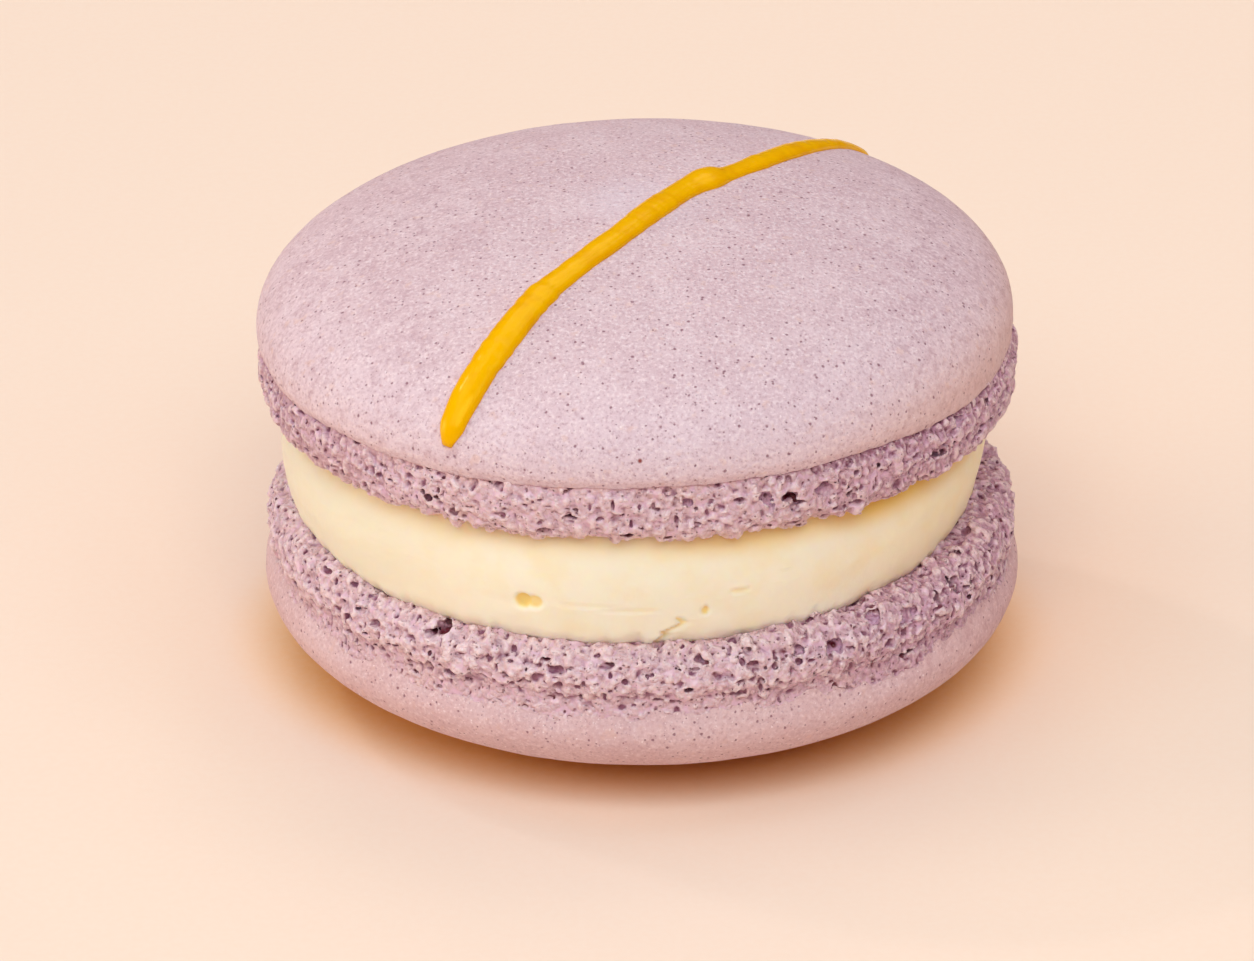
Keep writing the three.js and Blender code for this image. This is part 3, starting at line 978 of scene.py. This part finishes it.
def crust_look(name, warm_shade):
    """A crust's finish. The second argument is the share of painted shade, warm with light that
    the paper reflects, in its colour.
    """
    look = Look(name, CRUST)
    grain = look.noise(0.22, 2.0, 0.6)
    fibre = look.noise(0.45, 2.0, 0.6, look.wobble(0.9, 0.8))
    blotch = look.noise(0.7, 3.0, 0.6)
    rim = look.attribute("rim")
    look.tint(CRUST_PALE, look.ramp(look.noise(4.0, 3.0), 0.35, 0.68, 0.3))
    # painted light: the top crust paler towards its edge
    look.tint(CRUST_RIM_LIGHT, rim, 0.42)
    look.tint(CRUST_DARK, look.ramp(blotch, 0.55, 0.75, 0.22))
    look.tint(CRUST_PALE, look.ramp(grain, 0.50, 0.70, 0.85))
    look.tint(CRUST_DARK, look.ramp(grain, 0.48, 0.28, 0.5))
    # darker blotches on the sides: more mottling, and painted shade
    look.tint(CRUST_DARK, look.ramp(blotch, 0.45, 0.7, 0.5), look.attribute("sides"))
    look.tint(CRUST_TAN, look.ramp(look.noise(0.8, 2.0, 0.6), 0.60, 0.75, 0.4))
    # the edge tan on the right: browned crust, with a painted warm rim light
    look.tint(CRUST_TAN, look.math("POWER", rim, 3.0), look.attribute("right"), 0.45)
    # painted shade, warm with the paper's reflected light
    look.tint(CRUST_WARM_SHADE, warm_shade)
    pushed = look.wobble(0.12, 0.09)
    faint = look.dots(pushed, 0.25, 0.03, 0.10)
    pores = look.dots(pushed, 0.4, 0.03, 0.13)
    # tiny painted highlights scattered on the grain
    look.tint(CRUST_HIGHLIGHT, look.dots(look.wobble(0.2, 0.2), 0.32, 0.02, 0.08), 0.6)
    look.tint(CRUST_DARK, faint, 0.5)
    look.tint(CRUST_PORE, pores, 0.75)
    bloom = from_shell(np.array([[*BLOOM, dome_height_at(TOP, math.hypot(*BLOOM))]]), TOP)[0]
    look.tint(CRUST_BLOOM, look.near(bloom, 5.0, 0.3))
    speck = from_shell(np.array([SPECK]), TOP)[0]
    look.tint(CRUST_SPECK, look.near(speck, 0.2, 1.0))
    look.bump(grain, 0.04)
    look.bump(fibre, 0.07)
    holes = look.math("ADD", pores, look.math("MULTIPLY", faint, 0.5))
    look.bump(look.math("SUBTRACT", 1.0, holes), 0.025)
    return look.finish(
        Roughness=look.ramp(grain, 0.2, 0.8, 0.78, 0.62),
        Specular_IOR_Level=0.3,
        Subsurface_Weight=0.1,
        Subsurface_Radius=(1.0, 0.6, 0.5),
        Subsurface_Scale=0.5 * MM,
    )


FOOT = srgb(215, 179, 192)
FOOT_TAN = srgb(224, 184, 176)
FOOT_PALE = srgb(242, 218, 224)
FOOT_SHADY = srgb(185, 138, 161)
FOOT_HOLLOW = srgb(220, 176, 208)
FOOT_CREASE_SHADE = srgb(134, 76, 104)
FOOT_DEEP_SHADE = srgb(110, 26, 44)


def foot_look():
    look = Look("foot", FOOT)
    pit, crease = look.attribute("pit"), look.attribute("crease")
    grain = look.noise(0.22, 2.0, 0.6)
    cells = look.cells(look.wobble(0.5, 0.3), 0.34)
    look.tint(FOOT_TAN, look.ramp(look.noise(1.6, 3.0), 0.48, 0.75, 0.5))
    look.tint(FOOT_TAN, look.attribute("brink"), 0.4)
    look.tint(FOOT_SHADY, look.attribute("shade"))
    # painted shadow under the lip
    look.tint(FOOT_CREASE_SHADE, look.attribute("lip_shadow"), 0.8)
    # painted light on the tops of lumps
    look.tint(FOOT_PALE, look.ramp(crease, 0.0, -0.04, 0.7))
    look.tint(FOOT_PALE, look.ramp(grain, 0.5, 0.8, 0.5))
    look.tint(FOOT_HOLLOW, look.ramp(cells, 0.5, 0.85, 0.5))
    outside = look.ramp(pit, 0.14, 0.05, 1.0, 0.3)
    # painted shade in the creases between lumps, not inside pits
    look.tint(FOOT_CREASE_SHADE, look.ramp(crease, 0.003, 0.045, 0.95), outside)
    look.tint(FOOT_HOLLOW, look.ramp(pit, 0.08, 0.35, 0.7))
    # painted shade deep in pits
    look.tint(FOOT_DEEP_SHADE, look.ramp(pit, 0.5, 0.85))
    # pinholes and small pores get painted shade, as deep pits do
    pores = look.dots(look.wobble(0.12, 0.08), 0.3, 0.03, 0.10)
    burst = look.ramp(look.noise(1.3), 0.4, 0.62, 0.9, 0.3)
    burst = look.math("MULTIPLY", burst, look.attribute("pore"))
    look.tint(FOOT_DEEP_SHADE, look.math("MAXIMUM", look.math("MULTIPLY", pores, 0.6), burst))
    look.bump(grain, 0.045)
    look.bump(look.ramp(cells, 0.85, 0.1), 0.09)
    look.bump(look.math("SUBTRACT", 1.0, pores), 0.06)
    return look.finish(
        Roughness=look.ramp(grain, 0.2, 0.8, 0.45, 0.25),
        Specular_IOR_Level=0.65,
        Subsurface_Weight=0.1,
        Subsurface_Radius=(1.0, 0.6, 0.6),
        Subsurface_Scale=0.4 * MM,
    )


CREAM = srgb(250, 240, 222)
CREAM_LEFT_SHADE = srgb(238, 230, 208)
CREAM_DEEP = srgb(249, 231, 197)
CREAM_YELLOW = srgb(250, 216, 112)
CREAM_SHADED = srgb(236, 197, 98)


def cream_look():
    look = Look("buttercream", CREAM)
    fine = look.noise(0.5, 3.0)
    look.tint(CREAM_DEEP, look.ramp(look.noise(2.6, 3.0), 0.42, 0.72, 0.6))
    look.tint(CREAM_LEFT_SHADE, look.attribute("left"))
    # painted shade on the left
    look.tint(CREAM_YELLOW, look.attribute("right"), 0.3)
    # painted warm shade on the right
    look.tint(CREAM_SHADED, look.attribute("top"))
    look.tint(CREAM_YELLOW, look.ramp(look.attribute("deep"), 0.04, 0.28, 0.85))
    look.bump(fine, 0.02)
    return look.finish(
        Roughness=look.ramp(fine, 0.2, 0.8, 0.5, 0.34),
        Specular_IOR_Level=0.4,
        Subsurface_Weight=0.6,
        Subsurface_Radius=(1.0, 0.7, 0.35),
        Subsurface_Scale=1.2 * MM,
    )


ICING = srgb(243, 180, 0)
ICING_DARK = srgb(224, 146, 0)


def icing_look():
    look = Look("icing", ICING)
    soft = look.noise(1.2)
    look.tint(ICING_DARK, look.ramp(soft, 0.4, 0.8, 0.4))
    look.bump(look.noise(0.4), 0.012)
    return look.finish(
        Roughness=look.ramp(soft, 0.2, 0.8, 0.27, 0.17),
        Specular_IOR_Level=0.3,
        Specular_Tint=(1.0, 0.85, 0.15, 1.0),
        Subsurface_Weight=0.15,
        Subsurface_Radius=(1.0, 0.6, 0.02),
        Subsurface_Scale=0.5 * MM,
    )


FLOOR = srgb(248, 222, 205)
FLOOR_FLECK = srgb(255, 255, 255)
FLOOR_BOUNCE = srgb(249, 190, 114)  # warm light caught under the overhang
BOUNCE_MIDDLE = (0.0, 2.0, 0.0)
BOUNCE_REACH = (23.5, 20.0, 1.0)


def floor_look():
    look = Look("paper", FLOOR)
    away = look.vector("SUBTRACT", look.place, BOUNCE_MIDDLE)
    away = look.vector("DIVIDE", away, BOUNCE_REACH)
    away = look.vector("LENGTH", away, result="Value")
    look.tint(FLOOR_BOUNCE, look.ramp(away, 1.12, 0.8))
    look.tint(FLOOR_FLECK, look.ramp(look.noise(0.5, 3.0), 0.3, 0.7, 0.04))
    return look.finish(Roughness=0.9, Specular_IOR_Level=0.1)


# ---- camera, floor and light


def add_camera():
    """The photograph's view: from the front, 27.5 degrees above the horizon."""
    distance, aim_height, pitch, yaw = 350.0, 11.23, 27.51, 0.08
    aim = Vector((TOP["centre"][0], 0.0, aim_height))
    back = Vector((0.0, -math.cos(math.radians(pitch)), math.sin(math.radians(pitch))))
    data = bpy.data.cameras.new("camera")
    data.sensor_width = 36.0
    data.lens = 166.49
    data.clip_start, data.clip_end = 0.01, 20.0
    camera = bpy.data.objects.new("camera", data)
    camera.location = (aim + back * distance) * MM
    camera.rotation_euler = (math.radians(90 - pitch), 0.0, math.radians(yaw))
    bpy.context.scene.collection.objects.link(camera)
    bpy.context.scene.camera = camera


def add_floor():
    half, thick = 1500.0, 20.0
    square = ((-half, -half), (half, -half), (half, half), (-half, half))
    corners = [(x, y, z) for z in (0.0, -thick) for x, y in square]
    faces = [(0, 1, 2, 3), (7, 6, 5, 4), (0, 4, 5, 1), (1, 5, 6, 2), (2, 6, 7, 3), (3, 7, 4, 0)]
    floor = make_mesh("floor", corners, faces)
    floor.data.shade_flat()
    floor.data.materials.append(floor_look())


def add_softbox(name, azimuth, elevation, distance, size, watts, colour):
    """A square soft light that faces the macaron. Azimuth 0 is the camera's side, 90 right."""
    data = bpy.data.lights.new(name, "AREA")
    data.size = size
    data.energy = watts
    data.color = colour
    light = bpy.data.objects.new(name, data)
    a, e = math.radians(azimuth), math.radians(elevation)
    way = Vector((math.sin(a) * math.cos(e), -math.cos(a) * math.cos(e), math.sin(e)))
    light.location = way * distance + Vector((0, 0, SOFTBOX_AIM))
    light.rotation_euler = way.to_track_quat("Z", "Y").to_euler()
    bpy.context.scene.collection.objects.link(light)


# Soft boxes: (name, azimuth, elevation, size in metres, strength, colour).
SOFTBOXES = (
    ("front", 0, 48, 1.8, 0.555, (1.0, 0.98, 0.85)),
    ("front_left", -45, 46, 1.5, 0.207, (0.36, 0.80, 1.0)),
    ("front_right", 50, 46, 1.5, 0.153, (0.58, 0.90, 1.0)),
    ("back_right", 115, 62, 1.8, 0.180, (0.84, 0.86, 0.90)),
    ("back", 180, 58, 1.8, 0.175, (0.96, 0.88, 0.68)),
    ("back_left", 265, 66, 1.8, 0.190, (0.30, 0.66, 0.90)),
    ("low_left", -90, 12, 1.5, 0.37, (1.0, 0.80, 0.56)),
    ("glint", -122, 46, 0.16, 0.055, (1.0, 1.0, 1.0)),
)
SOFTBOX_DISTANCE = 3.0
SOFTBOX_AIM = 0.015  # height that they face
FILL = (0.165, 0.045, 0.025)  # what the warm surroundings send from every side


def add_light():
    world = bpy.data.worlds.new("world")
    world.use_nodes = True
    background = world.node_tree.nodes["Background"]
    background.inputs["Color"].default_value = (*FILL, 1.0)
    background.inputs["Strength"].default_value = 1.0
    bpy.context.scene.world = world
    for name, azimuth, elevation, size, strength, colour in SOFTBOXES:
        watts = strength * SOFTBOX_DISTANCE**2 * math.pi**2
        add_softbox(name, azimuth, elevation, SOFTBOX_DISTANCE, size, watts, colour)


# ---- the scene


def add_piece(obj, node, material):
    obj.data.materials.append(material)
    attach(obj, "root")
    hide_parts(node)


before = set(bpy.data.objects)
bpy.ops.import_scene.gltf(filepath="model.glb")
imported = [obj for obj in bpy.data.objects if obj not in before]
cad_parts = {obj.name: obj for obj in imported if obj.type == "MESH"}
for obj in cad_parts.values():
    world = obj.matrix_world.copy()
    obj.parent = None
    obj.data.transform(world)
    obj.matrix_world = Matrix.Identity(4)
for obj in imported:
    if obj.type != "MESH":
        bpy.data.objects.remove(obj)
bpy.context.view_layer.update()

add_camera()
foot_material = foot_look()
add_piece(make_crust("top_crust", TOP), "top_shell", crust_look("top_crust", 0.0))
add_piece(make_foot("top_foot", TOP), "top_shell", foot_material)
add_piece(make_icing("icing_line"), "top_shell", icing_look())
add_piece(make_cream("cream"), "filling", cream_look())
# the bottom crust gets painted shade, warm with light that the paper reflects
bottom_look = crust_look("bottom_crust", 0.3)
add_piece(make_crust("bottom_crust", BOTTOM), "bottom_shell", bottom_look)
add_piece(make_foot("bottom_foot", BOTTOM), "bottom_shell", foot_material)
add_floor()
add_light()
bpy.context.scene.view_settings.view_transform = "Standard"
